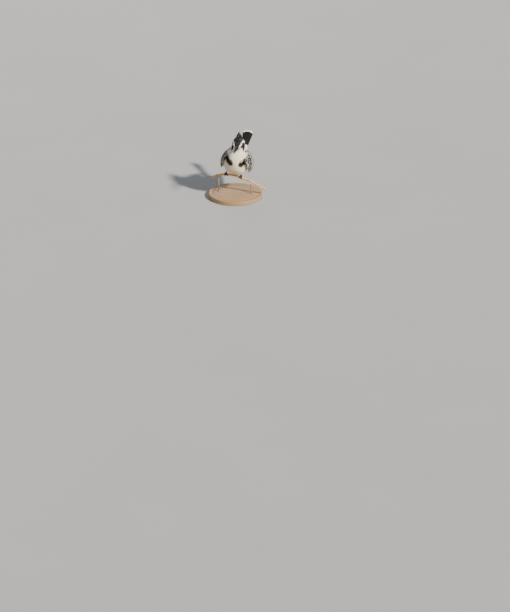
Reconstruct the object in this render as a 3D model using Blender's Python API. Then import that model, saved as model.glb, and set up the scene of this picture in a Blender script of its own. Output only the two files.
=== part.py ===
# A life-size pied kingfisher, a female, perched on a cut length of bent reed that two short rods carry
# above a flat round base. Shapes are written in millimetres and placed in metres; +Z is up, the bird
# faces -Y and its left side is +X. "forward" below means towards -Y.
import math

import bmesh
import bpy
import numpy as np
from mathutils import Matrix, Vector
from mathutils.bvhtree import BVHTree

MM = 0.001
GAP = 0.3  # left between two pieces that touch

# Display stand
BASE_RADIUS, BASE_HEIGHT, BASE_EDGE = 70.0, 12.0, 1.6
ROD_RADIUS = 2.0
ROD_PLACES = (-44.0, 42.0)  # across the base

# Reed: its middle line across the stand, each point (sideways, height above the stance level)
STANCE_LEVEL = 58.0  # of the reed's middle line under the bird, above the floor
REED_RADIUS = 2.8
REED_LINE = (
    (-61, -11), (-53, -4.8), (-41, -0.2), (-25, 2.4), (-5, 1.2), (14, -2.8), (37, -10.6), (54, -19), (80, -32),
)
REED_JOINTS = (0.17, 0.73)  # shares of the reed's length at which a leaf grew
JOINT_SWELL, JOINT_WIDTH = 0.55, 0.02
REED_RINGS, REED_SIDES = 46, 10

# How the bird holds itself
LEAN = math.radians(8.5)  # to its left
STANCE_SIDE = -2.9  # sideways place of the stance, about which it leans
HEAD_TURN = math.radians(4)  # to its left
HEAD_LEVEL = LEAN  # rolled back, so that the head stays level
NECK_PIVOT = (12.0, 91.6)  # forward and height of the place about which the head turns

# Ribs of the body from the tail's root to the bill's root. Each one joins a point of the back to a point
# of the belly and is an ellipse seen from the end: back forward, back height, belly forward,
# belly height, half width, share of the head's turn.
BODY_RIBS = np.array([
    (-60.0, 41.5, -57.0, 32.0, 7.2, 0),
    (-53.0, 49.5, -46.0, 23.4, 14.5, 0),
    (-43.0, 57.5, -33.0, 14.4, 23.2, 0),
    (-31.0, 66.0, -15.0, 9.1, 29.9, 0),
    (-19.0, 74.6, 4.0, 7.5, 33.3, 0),
    (-9.5, 82.0, 21.5, 12.8, 32.8, 0),
    (-4.5, 88.4, 35.0, 27.7, 28.0, 0),
    (-3.5, 93.2, 40.5, 45.3, 22.2, 0),
    (-4.0, 98.0, 40.0, 58.6, 18.8, 0.1),
    (-5.5, 102.2, 37.0, 69.2, 17.2, 0.4),
    (-6.0, 106.3, 32.5, 77.2, 16.6, 0.8),
    (-3.0, 109.9, 30.0, 82.5, 16.2, 1),
    (4.5, 112.3, 31.5, 86.1, 15.6, 1),
    (15.5, 112.5, 35.0, 88.2, 14.5, 1),
    (27.0, 108.6, 38.5, 89.5, 12.2, 1),
    (36.0, 103.9, 41.5, 90.3, 9.0, 1),
    (41.0, 101.8, 43.0, 90.7, 6.7, 1),
])
BELLY_FULLNESS = 0.16  # how much squarer than an ellipse the belly's half of a rib is
BODY_SIDES = 26
TRUNK_ENDS, NECK_ENDS, HEAD_ENDS = (0.0, 7.5), (7.56, 10.4), (10.48, 16.0)  # in ribs

# Bill: it rises this much above the level, and its two halves part along the gape
BILL_ROOT = (43.6, 96.3)  # forward, height
BILL_LENGTH, BILL_RISE = 58.0, math.radians(6)
BILL_HALF_WIDTH, UPPER_BILL, LOWER_BILL = 5.9, 6.0, 4.6

# Eye: radius, and where its middle is on the head
EYE_RADIUS = 3.6
EYE_FORWARD, EYE_HEIGHT, EYE_SIDE = 27.0, 101.2, 10.4

# Crest of long crown and nape feathers: forward, height, half width and half thickness of each rib
CREST_RIBS = np.array([
    (19.0, 107.6, 9.2, 3.0),
    (12.0, 111.3, 10.3, 5.0),
    (6.0, 115.0, 8.7, 6.0),
    (1.5, 118.2, 6.0, 5.0),
    (-1.5, 121.0, 3.8, 3.4),
    (-3.5, 123.5, 2.1, 1.8),
    (-5.0, 126.0, 0.6, 0.6),
])

# Folded wing, left side. Each rib has an upper, a middle and a lower point of the outer surface
# (forward, height, sideways), then how thick the wing is there.
WING_RIBS = np.array([
    ((25, 63.9, 23.6), (29, 56.4, 28), (27, 47.9, 30.4), 1.6),
    ((9, 73.5, 19.8), (13, 53.2, 35.2), (19, 31.9, 36.2), 4.5),
    ((-11, 74.5, 16.9), (-8, 46.9, 40.5), (4, 17, 36.7), 6.5),
    ((-30, 66, 15.4), (-30, 41.5, 39.6), (-22, 11.7, 35.2), 6.5),
    ((-52, 56.4, 15.9), (-54, 36.2, 32.8), (-50, 11.7, 30.9), 4.5),
    ((-76, 41.5, 15.4), (-80, 28.8, 25.6), (-78, 14.9, 25.1), 2.8),
    ((-97, 30.9, 15), (-101, 24, 17.9), (-98, 17.6, 18.3), 1.4),
], dtype=object)
WING_ENDS, PRIMARY_ENDS = (0.0, 3.85), (3.88, 6.0)  # in ribs
WING_ROWS = 12  # points down the wing's outer surface
WING_CLEAR = 1.3  # least the outer surface stands off the body

# Tail: a cambered fan
TAIL_ROOT = (-61.5, 36.2)  # forward, height
TAIL_SIDE, TAIL_SWING = 2.0, math.radians(5)  # root's place and the tail's swing, to its left
TAIL_LENGTH, TAIL_RISE = 76.0, math.radians(40)
TAIL_ROOT_HALF, TAIL_TIP_HALF = 7.0, 12.2
TAIL_THICK_ROOT, TAIL_THICK_TIP = 4.0, 1.2
TAIL_CAMBER, TAIL_NOTCH, TAIL_ROUNDING = 3.0, 3.0, 4.0

# Legs: where each foot stands on the reed, and where its thigh leaves the belly (sideways, forward, height)
FEET = {"right": (-24.3, (-15.0, 2.0, 25.0)), "left": (14.3, (12.0, 2.0, 18.0))}
THIGH_TOP, THIGH_FOOT, TARSUS_RADIUS, TARSUS_HEIGHT = 8.0, 3.4, 1.7, 2.6
TOE_RADIUS, CLAW_LENGTH = 1.25, 4.2
# name: start and end of the toe's way round the reed in degrees (90 is its top, 0 its front), and how far
# along the reed the toe begins and ends
TOES = {
    "inner": (78, -26, -1.7, -4.4),
    "middle": (80, -44, 0.2, 0.2),
    "outer": (76, -34, 2.2, 3.6),
    "hind": (104, 190, 0.0, -0.6),
}


def clear_scene():
    for old in list(bpy.data.objects):
        bpy.data.objects.remove(old)


def material(name, colour, roughness, metallic=0.0):
    made = bpy.data.materials.new(name)
    made.use_nodes = True
    shader = made.node_tree.nodes["Principled BSDF"]
    shader.inputs["Base Color"].default_value = (*colour, 1)
    shader.inputs["Roughness"].default_value = roughness
    shader.inputs["Metallic"].default_value = metallic
    return made


def place(name, mesh, look, parent=None, smooth=40):
    obj = bpy.data.objects.new(name, mesh)
    bpy.context.scene.collection.objects.link(obj)
    obj.parent = parent
    mesh.materials.append(look)
    if smooth:
        mesh.shade_smooth()
        mesh.set_sharp_from_angle(angle=math.radians(smooth))
    return obj


def as_cutter(obj):
    obj.hide_render = True
    obj.display_type = "WIRE"
    return obj


def boolean(obj, other, operation):
    modifier = obj.modifiers.new(other.name, "BOOLEAN")
    modifier.operation = operation
    modifier.object = other


def catmull(rows, t):
    """Rows of numbers read smoothly at the places t, which count in rows."""
    rows = np.asarray(rows, float)
    t = np.clip(np.atleast_1d(np.asarray(t, float)), 0, len(rows) - 1)
    first = np.minimum(t.astype(int), len(rows) - 2)
    u = (t - first)[:, None]
    padded = np.vstack([2 * rows[0] - rows[1], rows, 2 * rows[-1] - rows[-2]])
    a, b, c, d = (padded[first + k] for k in range(4))
    return 0.5 * (2 * b + (c - a) * u + (2 * a - 5 * b + 4 * c - d) * u**2 + (3 * b - a - 3 * c + d) * u**3)


def turned(points, share=1.0):
    """Points (sideways, forward, height) turned and rolled about the neck by a share of the head's."""
    turn, roll = HEAD_TURN * share, HEAD_LEVEL * share
    fore, height = points[..., 1] - NECK_PIVOT[0], points[..., 2] - NECK_PIVOT[1]
    side = points[..., 0] * math.cos(roll) - height * math.sin(roll)
    height = height * math.cos(roll) + points[..., 0] * math.sin(roll)
    out = points.copy()
    out[..., 0] = side * math.cos(turn) + fore * math.sin(turn)
    out[..., 1] = fore * math.cos(turn) - side * math.sin(turn) + NECK_PIVOT[0]
    out[..., 2] = height + NECK_PIVOT[1]
    return out


def body_ring(t, grow=0.0):
    """The body's outline at rib t, as points (sideways, forward, height), grow wider all round."""
    back_f, back_z, belly_f, belly_z, half_width, turn = catmull(BODY_RIBS, t)[0]
    middle = np.array([0, (back_f + belly_f) / 2, (back_z + belly_z) / 2])
    up = np.array([0, (back_f - belly_f) / 2, (back_z - belly_z) / 2])
    up *= 1 + grow / np.linalg.norm(up)
    across = np.array([half_width + grow, 0, 0])
    angle = np.linspace(0, 2 * np.pi, BODY_SIDES, endpoint=False)[:, None]
    rise, side = np.cos(angle), np.sin(angle)
    power = 1 - BELLY_FULLNESS * (1 - turn) * (rise < 0)
    side = np.sign(side) * np.abs(side) ** power
    rise = np.sign(rise) * np.abs(rise) ** power
    return turned(middle + up * rise + across * side, turn)


def to_metres(points):
    """(sideways, forward, height) in millimetres to (x, y, z) in metres."""
    return np.asarray(points, float) * (MM, -MM, MM)


def loft(name, rings, look, parent=None, smooth=40):
    """A closed piece through rings of equally many points, with a flat cap at each end."""
    bm = bmesh.new()
    loops = [[bm.verts.new(p) for p in to_metres(ring)] for ring in rings]
    for near, far in zip(loops, loops[1:]):
        for k in range(len(near)):
            after = (k + 1) % len(near)
            bm.faces.new((near[k], near[after], far[after], far[k]))
    bm.faces.new(loops[0])
    bm.faces.new(loops[-1])
    bmesh.ops.recalc_face_normals(bm, faces=bm.faces)
    mesh = bpy.data.meshes.new(name)
    bm.to_mesh(mesh)
    bm.free()
    return place(name, mesh, look, parent, smooth)


def tube_rings(line, radii, sides):
    """Round rings along a line of points (sideways, forward, height)."""
    line = np.asarray(line, float)
    along = np.gradient(line, axis=0)
    along /= np.linalg.norm(along, axis=1)[:, None]
    helper = np.array([0.0, 1.0, 0.0]) if abs(along[:, 1]).mean() < 0.7 else np.array([1.0, 0.0, 0.0])
    first = np.cross(along, helper)
    first /= np.linalg.norm(first, axis=1)[:, None]
    second = np.cross(along, first)
    angle = np.linspace(0, 2 * np.pi, sides, endpoint=False)[:, None]
    return [p + r * (a * np.cos(angle) + b * np.sin(angle)) for p, r, a, b in zip(line, radii, first, second)]


def body_piece(name, ends, rings, look, stance, grow=0.0):
    return loft(name, [body_ring(t, grow) for t in np.linspace(*ends, rings)], look, stance)


def make_eyes_and_sockets(head, looks, stance):
    for side, sign in (("left", 1), ("right", -1)):
        centre = turned(np.array([sign * EYE_SIDE, EYE_FORWARD, EYE_HEIGHT]))
        for name, radius in ((f"eye_{side}", EYE_RADIUS), (f"cut_socket_{side}", EYE_RADIUS + GAP)):
            bm = bmesh.new()
            bmesh.ops.create_uvsphere(bm, u_segments=14, v_segments=9, radius=radius * MM)
            mesh = bpy.data.meshes.new(name)
            bm.to_mesh(mesh)
            bm.free()
            ball = place(name, mesh, looks["eye"], stance)
            ball.location = to_metres(centre)
            if name.startswith("cut"):
                boolean(head, as_cutter(ball), "DIFFERENCE")


def make_bill(looks, stance):
    """Two tapering halves, each a half ellipse over a flat gape."""
    fore, height = BILL_ROOT
    for name, depth, sign in (("bill_upper", UPPER_BILL, 1), ("bill_lower", LOWER_BILL, -1)):
        rings = []
        for share in np.linspace(0, 1, 12):
            taper = (1 - share) ** 0.93
            half = 0.35 + (BILL_HALF_WIDTH - 0.35) * taper
            deep = 0.4 + (depth - 0.4) * (1 - share**1.12)
            angle = np.linspace(0, np.pi, 9)
            arch = deep * np.sin(angle) ** 0.85
            over = np.stack([half * np.cos(angle), np.full(9, share * BILL_LENGTH), arch], 1)
            under = np.array([[-half / 2, share * BILL_LENGTH, 0.0], [half / 2, share * BILL_LENGTH, 0.0]])
            ring = np.vstack([over, under])
            ring[:, 2] = sign * (ring[:, 2] + GAP / 2)
            rise = ring.copy()
            rise[:, 1] = fore + ring[:, 1] * math.cos(BILL_RISE) - ring[:, 2] * math.sin(BILL_RISE)
            rise[:, 2] = height + ring[:, 2] * math.cos(BILL_RISE) + ring[:, 1] * math.sin(BILL_RISE)
            rings.append(turned(rise))
        loft(name, rings, looks["bill"], stance)


def make_crest(head_cutter, looks, stance):
    rings = []
    angle = np.linspace(0, 2 * np.pi, 16, endpoint=False)
    for fore, height, half, thick in catmull(CREST_RIBS, np.linspace(0, len(CREST_RIBS) - 1, 11)):
        flat = np.stack([half * np.sin(angle), np.full(16, fore), height + thick * np.cos(angle)], 1)
        rings.append(turned(flat))
    boolean(loft("crest", rings, looks["black"], stance), head_cutter, "DIFFERENCE")


def body_surface(body):
    mesh = body.data
    return BVHTree.FromPolygons([v.co for v in mesh.vertices], [list(f.vertices) for f in mesh.polygons])


def clearance(points, surface):
    """How far each point is outside the body in millimetres, and the way out from it there."""
    found = [surface.find_nearest(Vector(p)) for p in to_metres(points)]
    spot = np.array([f[0] for f in found]) / (MM, -MM, MM)
    out = np.array([f[1] for f in found]) * (1, -1, 1)
    away = points - spot
    side = np.sign(np.einsum("ij,ij->i", away, out))
    return side * np.linalg.norm(away, axis=1), out


def wing_rings(ends, count, sign, surface):
    """The wing's outer surface from its upper to its lower edge, and back along its inner surface."""
    upper, middle, lower = (np.array([row[k] for row in WING_RIBS], float) for k in range(3))
    thick = np.array([[row[3]] for row in WING_RIBS], float)
    share = np.linspace(0, 1, WING_ROWS)[:, None]
    rings = []
    for t in np.linspace(*ends, count):
        top, mid, low = catmull(upper, t)[0], catmull(middle, t)[0], catmull(lower, t)[0]
        bow = 2 * mid - (top + low) / 2  # makes the arc pass through the middle point
        arc = top * (1 - share) ** 2 + 2 * bow * share * (1 - share) + low * share**2
        outer = np.stack([sign * arc[:, 2], arc[:, 0], arc[:, 1]], 1)
        room, out = clearance(outer, surface)
        outer += out * np.maximum(0, WING_CLEAR - room)[:, None]
        room = np.maximum(room, WING_CLEAR)
        wall = catmull(thick, t)[0, 0] * (0.3 + 0.7 * np.sin(np.pi * share[:, 0]) ** 0.6)
        wall = np.minimum(wall, room - GAP * 1.6)
        down = np.gradient(outer, axis=0)
        inward = np.stack([sign * down[:, 2], np.zeros(WING_ROWS), -sign * down[:, 0]], 1)
        inner = outer + wall[:, None] * inward / np.linalg.norm(inward, axis=1)[:, None]
        rings.append(np.vstack([outer, inner[::-1]]))
    return rings


def make_wings(surface, looks, stance):
    for side, sign in (("left", 1), ("right", -1)):
        loft(f"wing_{side}", wing_rings(WING_ENDS, 13, sign, surface), looks["wing"], stance)
        loft(f"primaries_{side}", wing_rings(PRIMARY_ENDS, 8, sign, surface), looks["wing"], stance)


def make_tail(looks, stance):
    """A level fan lofted from edge to edge: each ring is one feather's length, seen from the side."""
    rings = []
    for across in np.linspace(-1, 1, 15):
        end = TAIL_LENGTH - TAIL_ROUNDING * abs(across) ** 3 - TAIL_NOTCH * max(0, 1 - abs(across) / 0.18)
        share = np.linspace(0, 1, 8)
        half = TAIL_ROOT_HALF + (TAIL_TIP_HALF - TAIL_ROOT_HALF) * share**0.8
        thick = TAIL_THICK_ROOT + (TAIL_THICK_TIP - TAIL_THICK_ROOT) * share**0.5
        thick *= 0.45 + 0.55 * math.sqrt(1 - min(1, abs(across)) ** 2)
        length = share * end
        drop = -TAIL_CAMBER * across**2 * (1 - 0.4 * share)
        top = np.stack([across * half, length, drop + thick / 2], 1)
        under = np.stack([across * half, length, drop - thick / 2], 1)[::-1]
        ring = np.vstack([top, under])
        back = ring[:, 1] * math.cos(TAIL_RISE) - ring[:, 2] * math.sin(TAIL_RISE)
        high = ring[:, 1] * math.sin(TAIL_RISE) + ring[:, 2] * math.cos(TAIL_RISE)
        side = ring[:, 0] * math.cos(TAIL_SWING) + back * math.sin(TAIL_SWING)
        back = back * math.cos(TAIL_SWING) - ring[:, 0] * math.sin(TAIL_SWING)
        level = high * math.cos(LEAN) + side * math.sin(LEAN)
        side = side * math.cos(LEAN) - high * math.sin(LEAN) + TAIL_SIDE
        rings.append(np.stack([side, TAIL_ROOT[0] - back, TAIL_ROOT[1] + level], 1))
    loft("tail", rings, looks["black"], stance)


def reed_line(count):
    places = catmull(REED_LINE, np.linspace(0, len(REED_LINE) - 1, count))
    return np.stack([places[:, 0], np.zeros(count), STANCE_LEVEL + places[:, 1]], 1)


def make_reed(looks):
    line = reed_line(REED_RINGS)
    share = np.linspace(0, 1, REED_RINGS)
    swell = sum(np.exp(-(((share - joint) / JOINT_WIDTH) ** 2)) for joint in REED_JOINTS)
    radii = REED_RADIUS * (1.06 - 0.12 * share) + JOINT_SWELL * swell
    loft("perch_reed", tube_rings(line, radii, REED_SIDES), looks["reed"])
    return as_cutter(loft("cut_reed", tube_rings(line, radii + GAP, REED_SIDES), looks["reed"]))


def make_stand(reed_cutter, looks):
    bm = bmesh.new()
    bmesh.ops.create_cone(
        bm, cap_ends=True, segments=44,
        radius1=BASE_RADIUS * MM, radius2=BASE_RADIUS * MM, depth=BASE_HEIGHT * MM,
    )
    mesh = bpy.data.meshes.new("stand_base")
    bm.to_mesh(mesh)
    bm.free()
    base = place("stand_base", mesh, looks["wood"])
    base.location.z = BASE_HEIGHT / 2 * MM
    edge = base.modifiers.new("edge", "BEVEL")
    edge.width, edge.segments, edge.limit_method = BASE_EDGE * MM, 1, "ANGLE"
    line = reed_line(201)
    for side, place_x in zip(("right", "left"), ROD_PLACES):
        top = np.interp(place_x, line[:, 0], line[:, 2])
        ends = [(place_x, 0, BASE_HEIGHT + GAP), (place_x, 0, top)]
        rod = loft(f"stand_rod_{side}", tube_rings(ends, (ROD_RADIUS, ROD_RADIUS), 16), looks["steel"])
        boolean(rod, reed_cutter, "DIFFERENCE")


def round_the_reed(place_x, degrees, along, radius):
    """Points at these angles and distances round the reed's middle line, near place_x."""
    line = reed_line(401)
    at = np.interp(place_x, line[:, 0], np.arange(401))
    k = int(at)
    tangent = line[k + 8] - line[k - 8]
    tangent /= np.linalg.norm(tangent)
    top = np.array([0, 0, 1.0]) - tangent * tangent[2]
    top /= np.linalg.norm(top)
    front = np.array([0, 1.0, 0])
    angle = np.radians(degrees)[:, None]
    ring = radius[:, None] * (top * np.sin(angle) + front * np.cos(angle))
    return line[k] + np.asarray(along)[:, None] * tangent + ring


def make_legs(trunk_cutter, looks, stance):
    for side, (foot_x, hip) in FEET.items():
        inward = 1 if side == "right" else -1
        clear = REED_RADIUS * 1.06 + GAP + TOE_RADIUS + 0.15
        ankle = round_the_reed(foot_x, np.array([90.0]), np.array([0.0]), np.array([clear + 0.3]))[0]
        top = ankle + (0.0, 0.5, TARSUS_HEIGHT)
        tarsus_line = np.linspace(ankle, top, 6)
        radii = TARSUS_RADIUS * np.array([0.95, 1.1, 0.95, 0.9, 0.95, 1.0])
        foot = loft(f"foot_{side}", tube_rings(tarsus_line, radii, 12), looks["foot"])
        for toe, (start, end, first, last) in TOES.items():
            angle = np.linspace(start, end, 9)
            share = np.linspace(0, 1, 9)
            along = -inward * (first + (last - first) * share)
            knuckles = 1 + 0.1 * np.cos(share * 3 * 2 * np.pi)
            ring_radius = np.full(9, clear)
            line = round_the_reed(foot_x, angle, along, ring_radius)
            radii = TOE_RADIUS * knuckles * (1.06 - 0.3 * share)
            cut = as_cutter(loft(f"join_{side}_{toe}", tube_rings(line, radii, 8), looks["foot"]))
            boolean(foot, cut, "UNION")
            make_claw(side, toe, foot_x, end, along[-1], clear, looks)
        # the thigh's feathers, from inside the belly down to the ankle
        cuff = top + (0, 0, 0.5)
        share = np.linspace(0, 1, 7)[:, None]
        line = (np.array(hip) + (0, 0, STANCE_LEVEL)) * (1 - share) + (cuff + (0, 0, 1.2)) * share
        line = np.vstack([line, cuff])
        radii = THIGH_TOP + (THIGH_FOOT - THIGH_TOP) * np.append(share[:, 0], 1) ** 0.8
        thigh = loft(f"thigh_{side}", tube_rings(line, radii, 14), looks["white"])
        boolean(thigh, trunk_cutter, "DIFFERENCE")


def make_claw(side, toe, foot_x, end, along, clear, looks):
    """A curved cone that goes on from the toe's end, round the reed."""
    way = 1 if toe == "hind" else -1
    share = np.linspace(0, 1, 6)
    start = math.degrees(GAP * 1.2 / clear)
    turn = start + share * math.degrees(CLAW_LENGTH / clear)
    angle = end + way * turn
    radius = clear + 0.15 - 0.5 * share
    line = round_the_reed(foot_x, angle, np.full(6, along), radius)
    radii = 0.85 * (1 - share) ** 0.8 + 0.22
    loft(f"claw_{side}_{toe}", tube_rings(line, radii, 7), looks["claw"])


def main():
    clear_scene()
    looks = {
        "white": material("white_plumage", (0.86, 0.83, 0.77), 0.75),
        "black": material("black_plumage", (0.02, 0.021, 0.024), 0.6),
        "wing": material("wing_plumage", (0.1, 0.095, 0.09), 0.6),
        "bill": material("bill_horn", (0.02, 0.02, 0.023), 0.35),
        "eye": material("eye", (0.015, 0.01, 0.008), 0.05),
        "foot": material("foot_skin", (0.035, 0.032, 0.03), 0.6),
        "claw": material("claw_horn", (0.02, 0.02, 0.02), 0.35),
        "reed": material("dry_reed", (0.62, 0.36, 0.16), 0.5),
        "wood": material("stand_wood", (0.45, 0.31, 0.19), 0.45),
        "steel": material("stand_steel", (0.5, 0.5, 0.51), 0.3, 1.0),
    }
    stance = bpy.data.objects.new("stance", None)
    bpy.context.scene.collection.objects.link(stance)
    footing = Matrix.Translation((STANCE_SIDE * MM, 0, STANCE_LEVEL * MM))
    stance.matrix_world = footing @ Matrix.Rotation(LEAN, 4, "Y")

    body_piece("trunk", TRUNK_ENDS, 19, looks["white"], stance)
    body_piece("neck", NECK_ENDS, 8, looks["white"], stance)
    head = body_piece("head", HEAD_ENDS, 13, looks["black"], stance)
    body_cutter = as_cutter(body_piece("cut_body", (0.0, 11.0), 40, looks["white"], stance, GAP * 1.3))
    head_cutter = as_cutter(body_piece("cut_head", (7.0, 15.0), 32, looks["white"], stance, GAP * 1.3))

    make_eyes_and_sockets(head, looks, stance)
    make_bill(looks, stance)
    make_crest(head_cutter, looks, stance)
    make_wings(body_surface(body_cutter), looks, stance)
    make_tail(looks, stance)
    reed_cutter = make_reed(looks)
    make_stand(reed_cutter, looks)
    make_legs(body_cutter, looks, stance)


main()
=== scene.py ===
import math

import bpy
import numpy as np
from mathutils import Matrix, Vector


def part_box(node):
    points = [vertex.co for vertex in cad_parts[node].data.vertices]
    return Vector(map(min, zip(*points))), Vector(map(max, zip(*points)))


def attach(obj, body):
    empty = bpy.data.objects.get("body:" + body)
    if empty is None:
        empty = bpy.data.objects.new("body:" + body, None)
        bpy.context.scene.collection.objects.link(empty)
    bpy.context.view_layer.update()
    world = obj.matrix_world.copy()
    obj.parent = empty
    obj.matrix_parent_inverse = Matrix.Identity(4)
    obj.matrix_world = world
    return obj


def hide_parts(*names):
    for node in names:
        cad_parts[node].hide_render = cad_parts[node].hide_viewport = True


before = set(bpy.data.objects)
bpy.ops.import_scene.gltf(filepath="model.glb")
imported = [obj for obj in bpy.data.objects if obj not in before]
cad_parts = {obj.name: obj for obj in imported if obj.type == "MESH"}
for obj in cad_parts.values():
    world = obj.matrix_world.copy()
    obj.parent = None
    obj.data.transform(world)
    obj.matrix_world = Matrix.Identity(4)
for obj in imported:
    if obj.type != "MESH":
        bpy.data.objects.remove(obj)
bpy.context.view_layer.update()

mm = 0.001
rng = np.random.default_rng(29)  # all the feathers' small differences


class Wire:
    # one output of a node; sums, products and powers of wires add Math nodes
    def __init__(self, look, socket):
        self.look, self.socket = look, socket

    def math(self, operation, other=None, swap=False):
        pair = (other, self) if swap else (self, other)
        links = {place: value for place, value in enumerate(pair) if value is not None}
        return self.look.add("ShaderNodeMath", {"operation": operation}, links)

    def __add__(self, other):
        return self.math("ADD", other)

    def __sub__(self, other):
        return self.math("SUBTRACT", other)

    def __rsub__(self, other):
        return self.math("SUBTRACT", other, swap=True)

    def __mul__(self, other):
        return self.math("MULTIPLY", other)

    __radd__, __rmul__ = __add__, __mul__

    def __abs__(self):
        return self.math("ABSOLUTE")

    def wave(self):
        return self.math("SINE")

    def atMost(self, other):
        return self.math("MINIMUM", other)

    def atLeast(self, other):
        return self.math("MAXIMUM", other)

    def ramp(self, low, high):
        # 0 below low, 1 above high, smooth between
        settings = {"interpolation_type": "SMOOTHSTEP"}
        return self.look.add("ShaderNodeMapRange", settings, {0: self, 1: low, 2: high, 3: 0.0, 4: 1.0})


class Look:
    # a material, its Principled shader, and one way to add any other node
    def __init__(self, name, **constants):
        self.material = bpy.data.materials.new(name)
        self.material.use_nodes = True
        self.tree = self.material.node_tree
        self.shader = self.tree.nodes["Principled BSDF"]
        for socket, value in constants.items():
            self.shader.inputs[socket.replace("_", " ")].default_value = value

    def add(self, kind, settings, links, output=0):
        node = self.tree.nodes.new(kind)
        for name, value in settings.items():
            setattr(node, name, value)
        for place, value in links.items():
            self.link(value, node.inputs[place])
        return Wire(self, node.outputs[output])

    def link(self, value, socket):
        if isinstance(value, Wire):
            self.tree.links.new(value.socket, socket)
        elif isinstance(value, tuple) and len(value) == 3 and socket.type == "RGBA":
            socket.default_value = (*value, 1)
        else:
            socket.default_value = value

    def blend(self, share, first, second):
        settings = {"data_type": "RGBA", "blend_type": "MIX"}
        return self.add("ShaderNodeMix", settings, {0: share, 6: first, 7: second}, 2)

    def attribute(self, name):
        return self.add("ShaderNodeAttribute", {"attribute_name": name}, {}, "Fac")

    def place(self):
        return self.add("ShaderNodeTexCoord", {}, {}, "Object")

    def uv(self, name):
        spot = self.add("ShaderNodeUVMap", {"uv_map": name}, {})
        return [self.add("ShaderNodeSeparateXYZ", {}, {0: spot}, axis) for axis in ("X", "Y")]

    def axes(self, spot):
        return [self.add("ShaderNodeSeparateXYZ", {}, {0: spot}, axis) for axis in ("X", "Y", "Z")]

    def noise(self, scale, detail=3.0, spot=None, stretch=None):
        spot = spot or self.place()
        if stretch:
            spot = self.add("ShaderNodeVectorMath", {"operation": "MULTIPLY"}, {0: spot, 1: stretch})
        return self.add("ShaderNodeTexNoise", {}, {"Vector": spot, "Scale": scale, "Detail": detail})

    def bump(self, height, strength, depth):
        return self.add("ShaderNodeBump", {}, {"Height": height, "Strength": strength, "Distance": depth})

    def finish(self, colour=None, roughness=None, normal=None):
        for name, value in (("Base Color", colour), ("Roughness", roughness), ("Normal", normal)):
            if value is not None:
                self.link(value, self.shader.inputs[name])
        return self.material


def makeMesh(name, points, faces, material):
    mesh = bpy.data.meshes.new(name)
    mesh.from_pydata(points.reshape(-1, 3).tolist(), [], faces)
    mesh.materials.append(material)
    mesh.polygons.foreach_set("use_smooth", np.full(len(mesh.polygons), True))
    mesh.update()
    piece = bpy.data.objects.new(name, mesh)
    bpy.context.scene.collection.objects.link(piece)
    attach(piece, "root")
    return piece


def grid(down, across):
    return np.meshgrid(down, across, indexing="ij")


def fullTurn(count):
    return np.linspace(0, 2 * np.pi, count, endpoint=False)


def gridFaces(rows, columns):
    # quads of a grid of rows of points, each row closed into a ring
    row, column = grid(np.arange(rows - 1), np.arange(columns))
    here, beside = row * columns + column, row * columns + (column + 1) % columns
    return np.stack([here, beside, beside + columns, here + columns], -1).reshape(-1, 4)


def setAttribute(piece, name, values):
    attribute = piece.data.attributes.new(name, "FLOAT", "POINT")
    attribute.data.foreach_set("value", np.ascontiguousarray(values, np.float32).ravel())


def setUV(piece, name, perPoint):
    layer = piece.data.uv_layers.new(name=name)
    corner = np.empty(len(piece.data.loops), np.int32)
    piece.data.loops.foreach_get("vertex_index", corner)
    layer.data.foreach_set("uv", np.ascontiguousarray(perPoint.reshape(-1, 2)[corner], np.float32).ravel())


def outward(piece):
    # turns the faces of a closed piece so that its volume is positive
    mesh = piece.data
    points = np.empty(len(mesh.vertices) * 3)
    mesh.vertices.foreach_get("co", points)
    points = points.reshape(-1, 3)
    mesh.calc_loop_triangles()
    corners = np.empty(len(mesh.loop_triangles) * 3, np.int32)
    mesh.loop_triangles.foreach_get("vertices", corners)
    a, b, c = points[corners.reshape(-1, 3)].transpose(1, 0, 2)
    if np.einsum("ij,ij->i", a, np.cross(b, c)).sum() < 0:
        mesh.flip_normals()
    return piece


def closedRings(name, rings, material):
    # rings of points joined in order, with a flat cap at each end
    count, sides = rings.shape[:2]
    faces = gridFaces(count, sides).tolist()
    faces.append(list(range(sides)))
    faces.append(list(range((count - 1) * sides, count * sides)))
    return outward(makeMesh(name, rings, faces, material))


def unit(vectors):
    # each vector over its own length
    return vectors / np.maximum(np.linalg.norm(vectors, axis=-1, keepdims=True), 1e-12)


def smoothRows(rows, t):
    # rows of numbers read on a smooth curve through them, at places t counted in rows
    rows, t = np.asarray(rows, float), np.asarray(t, float)
    first = np.clip(t, 0, len(rows) - 2).astype(int)
    u = (t - first)[..., None]
    padded = np.vstack([2 * rows[0] - rows[1], rows, 2 * rows[-1] - rows[-2]])
    a, b, c, d = (padded[first + k] for k in range(4))
    return 0.5 * (2 * b + (c - a) * u + (2 * a - 5 * b + 4 * c - d) * u**2 + (3 * b - a - 3 * c + d) * u**3)


def step(low, high, x):
    # 0 below low, 1 above high, smooth between
    share = np.clip((x - low) / (high - low), 0, 1)
    return share * share * (3 - 2 * share)


pose = {  # millimetres from the stance, as are all the shapes below
    "lean": math.radians(8.5), "side": -2.9, "level": 58.0,
    "headTurn": math.radians(4), "neck": (12.0, 91.6),
}
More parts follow.
